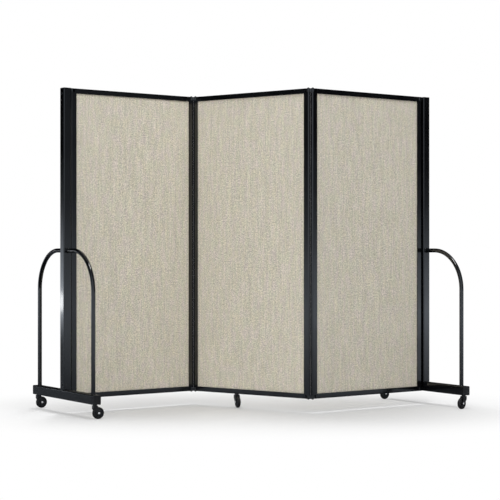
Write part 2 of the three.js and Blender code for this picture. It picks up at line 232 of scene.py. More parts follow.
class Finish:
    """A material made of nodes round one shader."""

    def __init__(self, name, roughness, metallic=0.0, **constants):
        self.material = bpy.data.materials.new(name)
        self.material.use_nodes = True
        self.nodes = self.material.node_tree.nodes
        self.links = self.material.node_tree.links
        self.shader = self.nodes["Principled BSDF"]
        self.shader.inputs["Roughness"].default_value = roughness
        self.shader.inputs["Metallic"].default_value = metallic
        for socket, value in constants.items():
            self.shader.inputs[socket.replace("_", " ")].default_value = value

    def plug(self, socket, value):
        """Links another node's output to an input, or sets a constant there."""
        if isinstance(value, Field):
            self.links.new(value.socket, socket)
        else:
            socket.default_value = value

    def add(self, kind, settings, *values, out=0, **sockets):
        """Adds a node, sets it, gives its inputs values or links, and returns one output."""
        node = self.nodes.new(kind)
        for name, value in settings.items():
            setattr(node, name, value)
        for key, value in [*enumerate(values), *sockets.items()]:
            self.plug(node.inputs[key.replace("_", " ") if isinstance(key, str) else key], value)
        return Field(self, node.outputs[out])

    def place(self, scale=(1, 1, 1), source="Object"):
        """Object coordinates, or the piece's own map, scaled."""
        coordinates = Field(self, self.nodes.new("ShaderNodeTexCoord").outputs[source])
        return self.add("ShaderNodeMapping", {"vector_type": "POINT"}, Vector=coordinates, Scale=scale)

    def noise(self, place, scale, detail=2.0, roughness=0.5):
        return self.add("ShaderNodeTexNoise", {}, Vector=place, Scale=scale, Detail=detail, Roughness=roughness)

    def between(self, value, low, high):
        """0 below low, 1 above high and a smooth step between."""
        return self.add(
            "ShaderNodeMapRange", {"interpolation_type": "SMOOTHSTEP"}, Value=value, From_Min=low, From_Max=high
        )

    def mixed(self, share, first, second):
        """One colour turning into another."""
        node = self.nodes.new("ShaderNodeMix")
        node.data_type = "RGBA"
        for number, value in [(0, share), (6, first), (7, second)]:
            self.plug(node.inputs[number], value)
        return Field(self, node.outputs[2])

    def feed(self, name, value):
        self.links.new(value.socket, self.shader.inputs[name])

    def bump(self, height, depth, strength):
        self.feed("Normal", self.add("ShaderNodeBump", {}, Height=height, Distance=depth, Strength=strength))

    def on(self, piece):
        piece.data.materials.clear()
        piece.data.materials.append(self.material)


def colour(red, green, blue):
    return (red, green, blue, 1.0)


PAINT_IOR = 1.65
DUST_SCALE = 7.0
DUST_RANGE = (0.5, 0.85)
PEEL_SCALE = 420.0
FINE_PEEL_SCALE = 1300.0
PEEL_STRENGTH = 0.35
SCUFF_BLEND = 1 * MM
SCUFF_ROUGHNESS = 0.5


def coat(name, dark, light, roughness, spread, peel, scuffed_from=None):
    """Black paint with a slight orange peel and dusty patches that dull it. Above a height it can be scuffed dull."""
    finish = Finish(name, roughness, IOR=PAINT_IOR)
    place = finish.place()
    patches = finish.noise(place, DUST_SCALE, 3.0)
    grain = finish.noise(place, PEEL_SCALE)
    dust = finish.between(patches + grain * 0.3, *DUST_RANGE)
    finish.feed("Base Color", finish.mixed(dust, dark, light))
    dullness = dust * spread + roughness
    if scuffed_from:
        height = finish.add("ShaderNodeSeparateXYZ", {}, place, out=2)
        dullness = dullness + finish.between(height, scuffed_from, scuffed_from + SCUFF_BLEND) * SCUFF_ROUGHNESS
    finish.feed("Roughness", dullness)
    finish.bump(grain + finish.noise(place, FINE_PEEL_SCALE) * 0.4, peel, PEEL_STRENGTH)
    return finish


PAINT_BLACK = colour(0.0011, 0.0012, 0.0016)
DUSTY_BLACK = colour(0.002, 0.0023, 0.0028)
frame_coat = coat("frame_coat", PAINT_BLACK, DUSTY_BLACK, roughness=0.12, spread=0.05, peel=0.02 * MM)

pivot = PIVOT_SPAN / 2
inner_edge = pivot - STILE_REACH
stile = block("stile", (inner_edge, -PANEL_HALF_DEPTH, PANEL_BOTTOM), (pivot, PANEL_HALF_DEPTH, PANEL_TOP))
nose = bar("nose", NOSE_RADIUS, (pivot, 0, PANEL_BOTTOM), (pivot, 0, PANEL_TOP), NOSE_SIDES)
between_faces = block(
    "between_faces",
    (pivot - PANEL_HALF_DEPTH, -PANEL_HALF_DEPTH, PANEL_BOTTOM - OVERRUN),
    (pivot + NOSE_RADIUS + OVERRUN, PANEL_HALF_DEPTH, PANEL_TOP + OVERRUN),
)
cut_with(nose, between_faces, operation="INTERSECT")
weld_on(stile, nose)
slot = block(
    "slot",
    (inner_edge - OVERRUN, -SLOT_HALF, PANEL_BOTTOM - OVERRUN),
    (inner_edge + SLOT_DEPTH, SLOT_HALF, PANEL_TOP + OVERRUN),
)
notches = [
    block(
        "notch",
        (pivot - NOTCH_REACH, -PANEL_HALF_DEPTH - OVERRUN, low),
        (pivot + NOSE_RADIUS + OVERRUN, PANEL_HALF_DEPTH + OVERRUN, high),
    )
    for low, high in [
        (PANEL_BOTTOM - OVERRUN, PANEL_BOTTOM + NOTCH_HEIGHT),
        (PANEL_TOP - NOTCH_HEIGHT, PANEL_TOP + OVERRUN),
    ]
]
bore_start, bore_end = (pivot, 0, PANEL_BOTTOM - OVERRUN), (pivot, 0, PANEL_TOP + OVERRUN)
bore = bar("bore", ROD_BORE, bore_start, bore_end, STILE_BORE_SIDES)
cut_with(stile, slot, *notches, bore)
soften(stile, LIP_ROUND)

hinge_x = pivot * math.cos(FOLD) + HINGE_PITCH / 2
hinge_y = pivot * math.sin(FOLD)
outer_x = hinge_x + HINGE_PITCH / 2 + pivot * math.cos(FOLD)
PANELS = {
    "centre": Matrix.Rotation(-FOLD, 4, "Z"),
    "left": Matrix.Translation((-outer_x, 0, 0)) @ Matrix.Rotation(FOLD, 4, "Z"),
    "right": Matrix.Translation((outer_x, 0, 0)) @ Matrix.Rotation(FOLD, 4, "Z"),
}
HALF_TURN = Matrix.Rotation(math.pi, 4, "Z")

for panel, place in PANELS.items():
    for side, turn in [("right", Matrix()), ("left", HALF_TURN)]:
        piece = put(stile, place @ turn, f"{panel}_{side}_stile_bar")
        frame_coat.on(piece)
        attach(piece, f"{panel}_panel")
        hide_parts(f"{panel}_panel_{side}_stile")
dropped(stile)

# Panel frames: rails.
# The same aluminium, cut square between the stiles and screwed to them from inside. The outer edges are eased, the
# inner edge is slotted for the boards, and the centre panel's bottom rail is drilled for its caster's stem.

RAIL_HEIGHT = 19 * MM
RAIL_ROUND = 1.2 * MM
RAIL_LIP_ROUND = 0.4 * MM
ROD_SIDES = 32
END_GAP = 0.3 * MM
STEM_BORE = 4.9 * MM
STEM_BORE_DEPTH = 8.3 * MM
CENTRE_STEM_X = -65 * MM

rail_end = inner_edge - END_GAP
rail_top = PANEL_BOTTOM + RAIL_HEIGHT
rail = block("rail", (-rail_end, -PANEL_HALF_DEPTH, PANEL_BOTTOM), (rail_end, PANEL_HALF_DEPTH, rail_top))
round_edges(
    rail,
    lambda middle, edge: runs_along(edge, 0) and middle.z < PANEL_BOTTOM + END_GAP,
    RAIL_ROUND,
    5,
)
cut_with(
    rail,
    block(
        "slot",
        (-rail_end - OVERRUN, -SLOT_HALF, rail_top - SLOT_DEPTH),
        (rail_end + OVERRUN, SLOT_HALF, rail_top + OVERRUN),
    ),
)
drilled_rail = put(rail, Matrix(), "drilled_rail")
cut_with(
    drilled_rail,
    bar(
        "stem_bore", STEM_BORE, (CENTRE_STEM_X, 0, PANEL_BOTTOM - OVERRUN),
        (CENTRE_STEM_X, 0, PANEL_BOTTOM + STEM_BORE_DEPTH), ROD_SIDES,
    ),
)
soften(rail, RAIL_LIP_ROUND)
soften(drilled_rail, RAIL_LIP_ROUND)
UPSIDE_DOWN = Matrix.Rotation(math.pi, 4, "X")
OVER = Matrix.Translation((0, 0, PANEL_BOTTOM + PANEL_TOP)) @ UPSIDE_DOWN

for panel, place in PANELS.items():
    bottom = drilled_rail if panel == "centre" else rail
    for level, model, turn in [("bottom", bottom, Matrix()), ("top", rail, OVER)]:
        piece = put(model, place @ turn, f"{panel}_{level}_rail_bar")
        frame_coat.on(piece)
        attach(piece, f"{panel}_panel")
        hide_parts(f"{panel}_panel_{level}_rail")
dropped(rail, drilled_rail)

# Boards: woven cloth over thin board.
# A heavy beige panel cloth with slubby upright yarns is stretched over a thin fibre board on each side of the core.
# Its edges run into the frame's slots, where the cloth dips a little over the board's eased edge.

CLOTH_HALF_WIDTH = 256 * MM
CLOTH_BOTTOM = 66.5 * MM
CLOTH_TOP = 1205.5 * MM
CLOTH_FACE = 4.1 * MM
CLOTH_THICKNESS = 0.7 * MM
BACKING_FACE = 2.3 * MM
BACKING_GAP = 0.05 * MM
BACKING_ROUND = 0.2 * MM
CLOTH_DIP = 0.35 * MM
DIP_REACH = 9 * MM
WAVE_DEPTH = 0.07 * MM
WAVES_ACROSS = 19
WAVES_UP = 7
WAVE_SLANT = 2
WAVE_PHASE = 1.3
WAVE_FADE = 50 * MM
CLOTH_STEPS = (72, 150)
CROWDED_ACROSS = 0.35
CROWDED_UP = 0.2
WARP_PITCH = 1.1 * MM
WEFT_PITCH = 1.25 * MM
WARP_SLUBS = 160
WEFT_SLUBS = 80
SAND_YARN = colour(0.592, 0.547, 0.438)
ROSE_YARN = colour(0.6, 0.53, 0.505)
OLIVE_YARN = colour(0.55, 0.545, 0.43)
YARN_DARKEST = 0.7
YARN_SPREAD = 0.98
SHADE_RANGE = (0.71, 1.17)
ROSE_RANGE = (0.4, 0.6)
OLIVE_RANGE = (0.42, 0.62)
TINT = 0.6
# How far painted shade darkens the cloth's colour in the crevices between the yarns.
CREVICE_PAINTED_SHADE = 0.22
WEAVE_DEPTH = 0.3 * MM
WEAVE_STRENGTH = 0.5


def cloth_finish(name, shift):
    """A plain weave of lighter and darker yarns, whose colour drifts in streaks between sand, rose and olive, with
    painted shade in the crevices between the yarns.
    """
    width, height = 2 * CLOTH_HALF_WIDTH, CLOTH_TOP - CLOTH_BOTTOM
    finish = Finish(name, 0.92, Sheen_Weight=0.1, Sheen_Roughness=0.6, Specular_IOR_Level=0.25)
    flat = finish.place(source="UV", scale=(width, height, 1))
    flat = finish.add("ShaderNodeVectorMath", {"operation": "ADD"}, flat, (shift, shift * 1.7, 0))
    across = finish.add("ShaderNodeSeparateXYZ", {}, flat, out=0)
    upward = finish.add("ShaderNodeSeparateXYZ", {}, flat, out=1)

    def slubs(per_metre_across, per_metre_up, depth=0.0):
        """Noise in two directions, with its own number of slubs in a metre each way."""
        spread = (per_metre_across, per_metre_up, 1)
        spot = finish.add("ShaderNodeVectorMath", {"operation": "MULTIPLY_ADD"}, flat, spread, (0, 0, depth))
        return finish.noise(spot, 1.0, 1.0)

    def along_yarn(number, along, per_metre, start):
        """Noise that runs along each yarn and has nothing to do with the next yarn's."""
        spot = finish.add("ShaderNodeCombineXYZ", {}, number * 3.71 + start, along * per_metre, start)
        return finish.noise(spot, 1.0, 1.0)

    warp_number = finish.add("ShaderNodeMath", {"operation": "FLOOR"}, across * (1 / WARP_PITCH))
    weft_number = finish.add("ShaderNodeMath", {"operation": "FLOOR"}, upward * (1 / WEFT_PITCH))
    warp_wave = finish.add("ShaderNodeMath", {"operation": "SINE"}, across * (math.pi / WARP_PITCH))
    weft_wave = finish.add("ShaderNodeMath", {"operation": "SINE"}, upward * (math.pi / WEFT_PITCH))
    warp_crown, weft_crown = abs(warp_wave), abs(weft_wave)
    warp_over = finish.between(warp_wave * weft_wave, -0.15, 0.15)
    warp_shade = along_yarn(warp_number, upward, WARP_SLUBS, 0)
    weft_shade = along_yarn(weft_number, across, WEFT_SLUBS, 31) * 0.5 + 0.25
    thread = weft_shade + warp_over * (warp_shade - weft_shade)
    shade = thread * 0.7 + slubs(280, 200) * 0.5 + slubs(380, 300) * 0.45 + slubs(330, 12, 0.5) * 0.22
    shade = finish.between(shade, *SHADE_RANGE)
    # Painted shade: the yarns' colour is darkened in the crevices between them, where shade would fall.
    painted_crevice_shade = 1 - (1 - warp_crown * weft_crown) * CREVICE_PAINTED_SHADE
    rosy = finish.between(slubs(330, 90) * 0.25 + slubs(60, 18) * 0.75, *ROSE_RANGE)
    mossy = finish.between(slubs(350, 80) * 0.25 + slubs(70, 22) * 0.75, *OLIVE_RANGE)
    yarn = finish.mixed(rosy * TINT, SAND_YARN, ROSE_YARN)
    yarn = finish.mixed(mossy * TINT, yarn, OLIVE_YARN)
    level = (shade * YARN_SPREAD + YARN_DARKEST) * painted_crevice_shade
    finish.feed("Base Color", finish.add("ShaderNodeVectorMath", {"operation": "SCALE"}, yarn, Scale=level))
    relief = warp_crown * 0.5 + weft_crown * 0.4 + warp_over * 0.3 + warp_shade * 0.5
    finish.bump(relief, WEAVE_DEPTH, WEAVE_STRENGTH)
    return finish


def eased(distance, reach):
    """1 at an edge, falling smoothly to 0 a given reach away from it."""
    left = max(0.0, 1 - distance / reach)
    return left * left


def crowded(share, amount):
    """Draws the grid's lines, from -1 to 1, together towards the edges."""
    return math.sin(share * math.pi / 2) * amount + share * (1 - amount)


bpy.ops.mesh.primitive_grid_add(x_subdivisions=CLOTH_STEPS[0], y_subdivisions=CLOTH_STEPS[1], size=2)
cloth = named("cloth")
middle_height = (CLOTH_TOP + CLOTH_BOTTOM) / 2
half_height = (CLOTH_TOP - CLOTH_BOTTOM) / 2
for corner in cloth.data.vertices:
    x = crowded(corner.co.x, CROWDED_ACROSS)
    z = crowded(corner.co.y, CROWDED_UP)
    beside = (1 - abs(x)) * CLOTH_HALF_WIDTH
    above = (1 - abs(z)) * half_height
    dip = CLOTH_DIP * max(eased(beside, DIP_REACH), eased(above, DIP_REACH))
    wave = math.sin(WAVES_ACROSS * x + WAVE_SLANT * z) * math.sin(WAVES_UP * z + WAVE_PHASE)
    wave *= WAVE_DEPTH * min(1.0, beside / WAVE_FADE, above / WAVE_FADE)
    corner.co = (x * CLOTH_HALF_WIDTH, -CLOTH_FACE + dip - min(0.0, wave), middle_height + z * half_height)
pick(cloth, "FACE", every)
bpy.ops.mesh.normals_make_consistent(inside=False)
if bmesh.from_edit_mesh(cloth.data).faces[:][0].normal.y > 0:
    bpy.ops.mesh.flip_normals()
close_edit()
applied(cloth, "SOLIDIFY", thickness=CLOTH_THICKNESS, offset=-1.0, use_even_offset=True)
smooth_shaded(50)
backing = block(
    "backing",
    (-CLOTH_HALF_WIDTH, -CLOTH_FACE + CLOTH_DIP + CLOTH_THICKNESS + BACKING_GAP, CLOTH_BOTTOM),
    (CLOTH_HALF_WIDTH, -BACKING_FACE, CLOTH_TOP),
)
soften(backing, BACKING_ROUND)

FIBRE_BROWN = colour(0.33, 0.22, 0.13)
FIBRE_PALE = colour(0.55, 0.41, 0.26)


def fibre_finish(name):
    """Pressed wood fibre: short pale and brown flecks with a felted surface."""
    finish = Finish(name, 0.9)
    place = finish.place()
    flecks = finish.noise(place, 900.0, 4.0, 0.7)
    stain = finish.noise(place, 30.0, 3.0)
    share = finish.between(flecks + stain * 0.4, 0.5, 0.9)
    finish.feed("Base Color", finish.mixed(share, FIBRE_BROWN, FIBRE_PALE))
    finish.bump(flecks, 0.2 * MM, 0.6)
    return finish


fibre = fibre_finish("fibre_board")
for number, (panel, place) in enumerate(PANELS.items()):
    for face, turn in [("front", Matrix()), ("back", HALF_TURN)]:
        sheet = put(cloth, place @ turn, f"{panel}_{face}_cloth")
        cloth_finish(f"{panel}_{face}_cloth", 0.37 * number + (0.19 if face == "back" else 0.0)).on(sheet)
        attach(sheet, f"{panel}_panel")
        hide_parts(f"{panel}_panel_{face}_fabric")
        board = put(backing, place @ turn, f"{panel}_{face}_backing_board")
        fibre.on(board)
        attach(board, f"{panel}_panel")
    fibre.on(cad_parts[f"{panel}_panel_core_board"])
dropped(cloth, backing)

# Hinges: links.
# At the top and bottom of each hinge a figure-eight steel link, coated black, holds the two rods apart. Its eyes
# sit in the stiles' notches and are a little slimmer than the noses.

LINK_HEIGHT = 13.5 * MM
EYE_RADIUS = 7.5 * MM
EYE_SIDES = 64
WEB_HALF = 5.5 * MM
LINK_ROUND = 0.7 * MM
LINK_BLACK = colour(0.004, 0.0045, 0.0052)
DUSTY_LINK_BLACK = colour(0.008, 0.0085, 0.0095)

hinge_coat = coat("hinge_coat", LINK_BLACK, DUSTY_LINK_BLACK, roughness=0.24, spread=0.08, peel=0.03 * MM)
eye = HINGE_PITCH / 2
link = bar("link", EYE_RADIUS, (eye, 0, 0), (eye, 0, LINK_HEIGHT), EYE_SIDES)
weld_on(
    link,
    bar("other_eye", EYE_RADIUS, (-eye, 0, 0), (-eye, 0, LINK_HEIGHT), EYE_SIDES),
    block("web", (-eye, -WEB_HALF, 0), (eye, WEB_HALF, LINK_HEIGHT)),
)
cut_with(
    link,
    *[bar("bore", ROD_BORE, (x, 0, -OVERRUN), (x, 0, LINK_HEIGHT + OVERRUN), ROD_SIDES) for x in (eye, -eye)],
)
soften(link, LINK_ROUND, 3)
HINGES = {
    "left": Matrix.Translation((-hinge_x, hinge_y, 0)),
    "right": Matrix.Translation((hinge_x, -hinge_y, 0)),
}

for hinge, place in HINGES.items():
    for level, height in [("top", PANEL_TOP - LINK_HEIGHT), ("bottom", PANEL_BOTTOM)]:
        piece = put(link, place @ Matrix.Translation((0, 0, height)), f"{hinge}_{level}_link_plate")
        hinge_coat.on(piece)
        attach(piece, f"{hinge}_link")
        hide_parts(f"{hinge}_hinge_{level}_link")
dropped(link)

# Hinges: rods and push caps.
# Two full-height steel rods run down each hinge through the links and the stiles' noses. Their ends stand a little
# proud with a rounded tip, and a domed spring cap pushed over each end keeps the links on.

ROD_RADIUS = 2.75 * MM
ROD_STAND_OUT = 3.5 * MM
ROD_TIP_ROUND = 1.4 * MM
CAP_RADIUS = 5.4 * MM
CAP_HEIGHT = 1.7 * MM
CAP_ROUND = 1.3 * MM
CAP_EDGE = 0.15 * MM
CAP_CLEARANCE = 0.05 * MM
CAP_SIDES = 48

rod_low, rod_high = PANEL_BOTTOM - ROD_STAND_OUT, PANEL_TOP + ROD_STAND_OUT
rod = bar("rod", ROD_RADIUS, (0, 0, rod_low), (0, 0, rod_high), ROD_SIDES)
round_edges(rod, lambda middle, edge: not runs_along(edge, 2), ROD_TIP_ROUND, 4)
smooth_shaded()
push_cap = bar("push_cap", CAP_RADIUS, (0, 0, CAP_CLEARANCE), (0, 0, CAP_HEIGHT), CAP_SIDES)
round_edges(push_cap, lambda middle, edge: middle.z > CAP_HEIGHT / 2 and not runs_along(edge, 2), CAP_ROUND, 4)
cut_with(push_cap, bar("bore", ROD_RADIUS + CAP_CLEARANCE, (0, 0, -OVERRUN), (0, 0, OVERRUN), ROD_SIDES))
soften(push_cap, CAP_EDGE)

for hinge, place in HINGES.items():
    for side, x in [("left", -eye), ("right", eye)]:
        axis = place @ Matrix.Translation((x, 0, 0))
        piece = put(rod, axis, f"{hinge}_{side}_hinge_pin")
        hinge_coat.on(piece)
        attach(piece, f"{hinge}_link")
        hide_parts(f"{hinge}_hinge_{side}_rod")
        for level, spot in [
            ("top", Matrix.Translation((0, 0, PANEL_TOP))),
            ("bottom", Matrix.Translation((0, 0, PANEL_BOTTOM)) @ UPSIDE_DOWN),
        ]:
            piece = put(push_cap, axis @ spot, f"{hinge}_{side}_{level}_push_cap")
            hinge_coat.on(piece)
            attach(piece, f"{hinge}_link")
dropped(rod, push_cap)

# End frames: posts and their caps.
# A square steel tube, coated black, stands on the base beam at the outer edge of each end panel. It is drilled
# through for the hoop, and a moulded cap closes its top.

TUBE_HALF = 15.875 * MM
TUBE_WALL = 1.5 * MM
TUBE_ROUND = 3.5 * MM
TUBE_EDGE = 0.3 * MM
TUBE_BORE_SIDES = 48
BEAM_HALF_HEIGHT = 17.5 * MM
BEAM_TOP = PANEL_BOTTOM + 2 * BEAM_HALF_HEIGHT
HOOP_RISE = 522 * MM
HOOP_RADIUS = 8 * MM
HOOP_CLEARANCE = 0.4 * MM
CAP_PLATE = 3 * MM
PLUG_DEPTH = 7 * MM
PLATE_ROUND = 1 * MM
PLATE_EDGE = 0.2 * MM
POST_GAP = 3 * MM
POST_SPACING = PANEL_HALF_DEPTH + POST_GAP + TUBE_HALF

TUBE_GLOSS = {"roughness": 0.09, "spread": 0.04, "peel": 0.02 * MM}
tube_coat = coat("tube_coat", PAINT_BLACK, DUSTY_BLACK, **TUBE_GLOSS)


def square_tube(name, low, high, half_height=TUBE_HALF):
    """A tube along Z with rounded corners and its ends open."""
    outside = block(name, (-TUBE_HALF, -half_height, low), (TUBE_HALF, half_height, high))
    round_edges(outside, lambda middle, edge: runs_along(edge, 2), TUBE_ROUND, 6)
    inside_x = TUBE_HALF - TUBE_WALL
    inside_y = half_height - TUBE_WALL
    inside = block("inside", (-inside_x, -inside_y, low - OVERRUN), (inside_x, inside_y, high + OVERRUN))
    round_edges(inside, lambda middle, edge: runs_along(edge, 2), TUBE_ROUND - TUBE_WALL, 3)
    return cut_with(outside, inside)


def tube_cap(name, half_height=TUBE_HALF):
    """A moulded plate that closes a tube's end, with a plug that fits inside it."""
    plate_top = END_GAP + CAP_PLATE
    plate = block(name, (-TUBE_HALF, -half_height, END_GAP), (TUBE_HALF, half_height, plate_top))
    round_edges(plate, lambda middle, edge: runs_along(edge, 2), TUBE_ROUND, 6)
    round_edges(plate, lambda middle, edge: middle.z > CAP_PLATE and not runs_along(edge, 2), PLATE_ROUND, 4)
    plug_x = TUBE_HALF - TUBE_WALL - END_GAP
    plug_y = half_height - TUBE_WALL - END_GAP
    plug = block("plug", (-plug_x, -plug_y, -PLUG_DEPTH), (plug_x, plug_y, END_GAP + CAP_PLATE / 2))
    round_edges(plug, lambda middle, edge: runs_along(edge, 2), TUBE_ROUND - TUBE_WALL, 3)
    weld_on(plate, plug)
    return soften(plate, PLATE_EDGE)


PLASTIC_BLACK = colour(0.009, 0.009, 0.01)
RUBBED_BLACK = colour(0.014, 0.014, 0.015)


def moulded(name, roughness):
    """Black moulded plastic: an even spark-eroded grain with a few shinier rubbed patches."""
    finish = Finish(name, roughness)
    place = finish.place()
    grain = finish.noise(place, 2200.0)
    rubbed = finish.between(finish.noise(place, 40.0, 3.0), 0.45, 0.75)
    finish.feed("Base Color", finish.mixed(rubbed, PLASTIC_BLACK, RUBBED_BLACK))
    finish.feed("Roughness", roughness - rubbed * 0.08)
    finish.bump(grain, 0.05 * MM, 0.5)
    return finish


cap_plastic = moulded("cap_plastic", 0.4)
hoop_height = BEAM_TOP + HOOP_RISE
post_top = PANEL_TOP - CAP_PLATE - END_GAP
post = square_tube("post", BEAM_TOP + END_GAP, post_top)
cut_with(
    post,
    bar(
        "hoop_bore", HOOP_RADIUS + HOOP_CLEARANCE, (0, -TUBE_HALF - OVERRUN, hoop_height),
        (0, TUBE_HALF + OVERRUN, hoop_height), TUBE_BORE_SIDES,
    ),
)
soften(post, TUBE_EDGE)
post_cap = tube_cap("post_cap")

ENDS = {}
for end, side in [("left", -1), ("right", 1)]:
    ENDS[end] = PANELS[end] @ Matrix.Translation((side * (pivot + POST_SPACING), 0, 0))
    tube = put(post, ENDS[end], f"{end}_post_tube")
    tube_coat.on(tube)
    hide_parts(f"{end}_post")
    cap = put(post_cap, ENDS[end] @ Matrix.Translation((0, 0, post_top)), f"{end}_post_top_cap")
    cap_plastic.on(cap)
    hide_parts(f"{end}_post_cap")
    for piece in (tube, cap):
        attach(piece, f"{end}_panel")
dropped(post, post_cap)

# End frames: base beams.
# A steel tube as wide as the post and a little taller lies across its foot, coated black like it, with moulded caps
# in its ends. It is drilled on top for the hoop's legs and below for the casters' stems.

BEAM_HALF = 243 * MM
LEG_HALF_SPACING = 214 * MM
STEM_SPACING = 226 * MM
SCUFF_DEPTH = 1.3 * MM
ALONG = Matrix.Rotation(math.pi / 2, 4, "X")

beam_middle = PANEL_BOTTOM + BEAM_HALF_HEIGHT
tube_half_length = BEAM_HALF - CAP_PLATE - END_GAP
beam = square_tube("beam", -tube_half_length, tube_half_length, BEAM_HALF_HEIGHT)
beam.data.transform(Matrix.Translation((0, 0, beam_middle)) @ ALONG)
cut_with(
    beam,
    *[
        bar(
            "leg_bore", HOOP_RADIUS + HOOP_CLEARANCE, (0, side * LEG_HALF_SPACING, beam_middle),
            (0, side * LEG_HALF_SPACING, BEAM_TOP + OVERRUN), TUBE_BORE_SIDES,
        )
        for side in (-1, 1)
    ],
    *[
        bar(
            "stem_bore", STEM_BORE, (0, side * STEM_SPACING, PANEL_BOTTOM - OVERRUN),
            (0, side * STEM_SPACING, beam_middle), ROD_SIDES,
        )
        for side in (-1, 1)
    ],
)
soften(beam, TUBE_EDGE)
beam_cap = tube_cap("beam_cap", BEAM_HALF_HEIGHT)
beam_coat = coat("beam_coat", PAINT_BLACK, DUSTY_BLACK, **TUBE_GLOSS, scuffed_from=BEAM_TOP - SCUFF_DEPTH)

for end, place in ENDS.items():
    tube = put(beam, place, f"{end}_beam_tube")
    beam_coat.on(tube)
    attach(tube, f"{end}_panel")
    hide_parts(f"{end}_base_beam")
    for level, side in [("front", -1), ("rear", 1)]:
        outward = Matrix.Rotation(-side * math.pi / 2, 4, "X")
        spot = Matrix.Translation((0, side * tube_half_length, beam_middle)) @ outward
        cap = put(beam_cap, place @ spot, f"{end}_beam_{level}_end_cap")
        cap_plastic.on(cap)
        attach(cap, f"{end}_panel")
        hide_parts(f"{end}_beam_{level}_cap")
dropped(beam, beam_cap)

# End frames: hoops.
# One round steel tube, bent twice and coated black, runs from the beam's front end up, through the post and down to
# the rear end. Its legs are let into the beam and welded round.

LEG_DEPTH = 9 * MM
BEND_RADIUS = 150 * MM
HOOP_WALL = 1.5 * MM
HOOP_SIDES = 32
BEND_STEPS = 28

leg_start = BEAM_TOP - LEG_DEPTH
bend_start = hoop_height - BEND_RADIUS
shoulder = LEG_HALF_SPACING - BEND_RADIUS
bpy.ops.mesh.primitive_circle_add(
    vertices=HOOP_SIDES, radius=HOOP_RADIUS, fill_type="NOTHING", location=(0, -LEG_HALF_SPACING, leg_start)
)
bpy.ops.object.transform_apply(location=True, rotation=True, scale=True)
hoop = named("hoop")
pick(hoop, "VERT", every)


def draw_on(x, y, z):
    """Extrudes what is selected."""
    bpy.ops.mesh.extrude_region_move(TRANSFORM_OT_translate={"value": (x, y, z)})


def bend_at(y, z):
    """Spins the selected ring a quarter turn about a point beside it."""
    bpy.ops.mesh.spin(steps=BEND_STEPS, angle=math.pi / 2, center=(0, y, z), axis=(1, 0, 0))


draw_on(0, 0, bend_start - leg_start)
bend_at(-shoulder, bend_start)
draw_on(0, 2 * shoulder, 0)
bend_at(shoulder, bend_start)
draw_on(0, 0, leg_start - bend_start)
bpy.ops.mesh.select_all(action="SELECT")
bpy.ops.mesh.remove_doubles(threshold=MERGE_DISTANCE)
bpy.ops.mesh.normals_make_consistent(inside=False)
close_edit()
applied(hoop, "SOLIDIFY", thickness=HOOP_WALL, offset=-1.0)
smooth_shaded(40)

for end, place in ENDS.items():
    piece = put(hoop, place, f"{end}_hoop_tube")
    tube_coat.on(piece)
    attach(piece, f"{end}_panel")
    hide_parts(f"{end}_hoop")
dropped(hoop)

# End frames: weld beads.
# Small fillet welds, painted over, close the joints: round each hoop leg on the beam, round the hoop where it enters
# and leaves the post, and along two sides of the post's foot.

BEAD_RADIUS = 1.3 * MM
BEAD_SIDES = 10
BEAD_SINK = 0.2 * MM
RIPPLES = 72
RIPPLE_DEPTH = 0.12 * MM


def bead_ring(name, radius):
    """A fillet bead round a tube of the given radius, lying on the ground plane, with the welder's ripples."""
    bpy.ops.mesh.primitive_torus_add(
        major_radius=radius + 0.3 * BEAD_RADIUS, minor_radius=BEAD_RADIUS,
        major_segments=2 * RIPPLES, minor_segments=BEAD_SIDES,
    )
    ring = named(name)
    for corner in ring.data.vertices:
        angle = math.atan2(corner.co.y, corner.co.x)
        lift = 1 + RIPPLE_DEPTH / BEAD_RADIUS * math.cos(RIPPLES / 2 * angle)
        corner.co.z *= lift
    bpy.ops.object.shade_smooth()
    return ring


leg_bead = bead_ring("leg_bead", HOOP_RADIUS)
foot_bead = block(
    "foot_bead",
    (-TUBE_HALF - BEAD_RADIUS, -TUBE_HALF + TUBE_ROUND, -BEAD_SINK),
    (TUBE_HALF + BEAD_RADIUS, TUBE_HALF - TUBE_ROUND, BEAD_RADIUS),
)
cut_with(
    foot_bead,
    block(
        "post_inside", (-TUBE_HALF + TUBE_WALL, -TUBE_HALF, -OVERRUN), (TUBE_HALF - TUBE_WALL, TUBE_HALF, OVERRUN)
    ),
)
round_edges(
    foot_bead,
    lambda middle, edge: runs_along(edge, 1) and middle.z > BEAD_RADIUS / 2 and abs(middle.x) > TUBE_HALF,
    BEAD_RADIUS * 0.9,
    4,
)
smooth_shaded()

for end, place in ENDS.items():
    beads = [
        put(leg_bead, place @ Matrix.Translation((0, side * LEG_HALF_SPACING, BEAM_TOP)), f"{end}_{level}_leg_weld")
        for level, side in [("front", -1), ("rear", 1)]
    ]
    beads += [
        put(
            leg_bead, place @ Matrix.Translation((0, side * TUBE_HALF, hoop_height)) @ ALONG,
            f"{end}_{level}_hoop_weld",
        )
        for level, side in [("front", -1), ("rear", 1)]
    ]
    beads.append(put(foot_bead, place @ Matrix.Translation((0, 0, BEAM_TOP)), f"{end}_post_foot_weld"))
    for bead in beads:
        tube_coat.on(bead)
        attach(bead, f"{end}_panel")
dropped(leg_bead, foot_bead)

# End frames: brackets.
# A black coated steel bracket at the top and bottom of each post reaches into the notch of the end stile, where a
# spigot in the stile's bore holds the panel to the post. A domed bolt head shows on the post's outer side.

SPIGOT_DEPTH = 25 * MM
BOLT_INSET = 22 * MM
BOLT_RADIUS = 5 * MM
BOLT_HEIGHT = 2.2 * MM
BOLT_ROUND = 1.8 * MM
BOLT_EDGE = 0.12 * MM
SOCKET_RADIUS = 1.8 * MM
SOCKET_DEPTH = 1.2 * MM
HEXAGON = 6

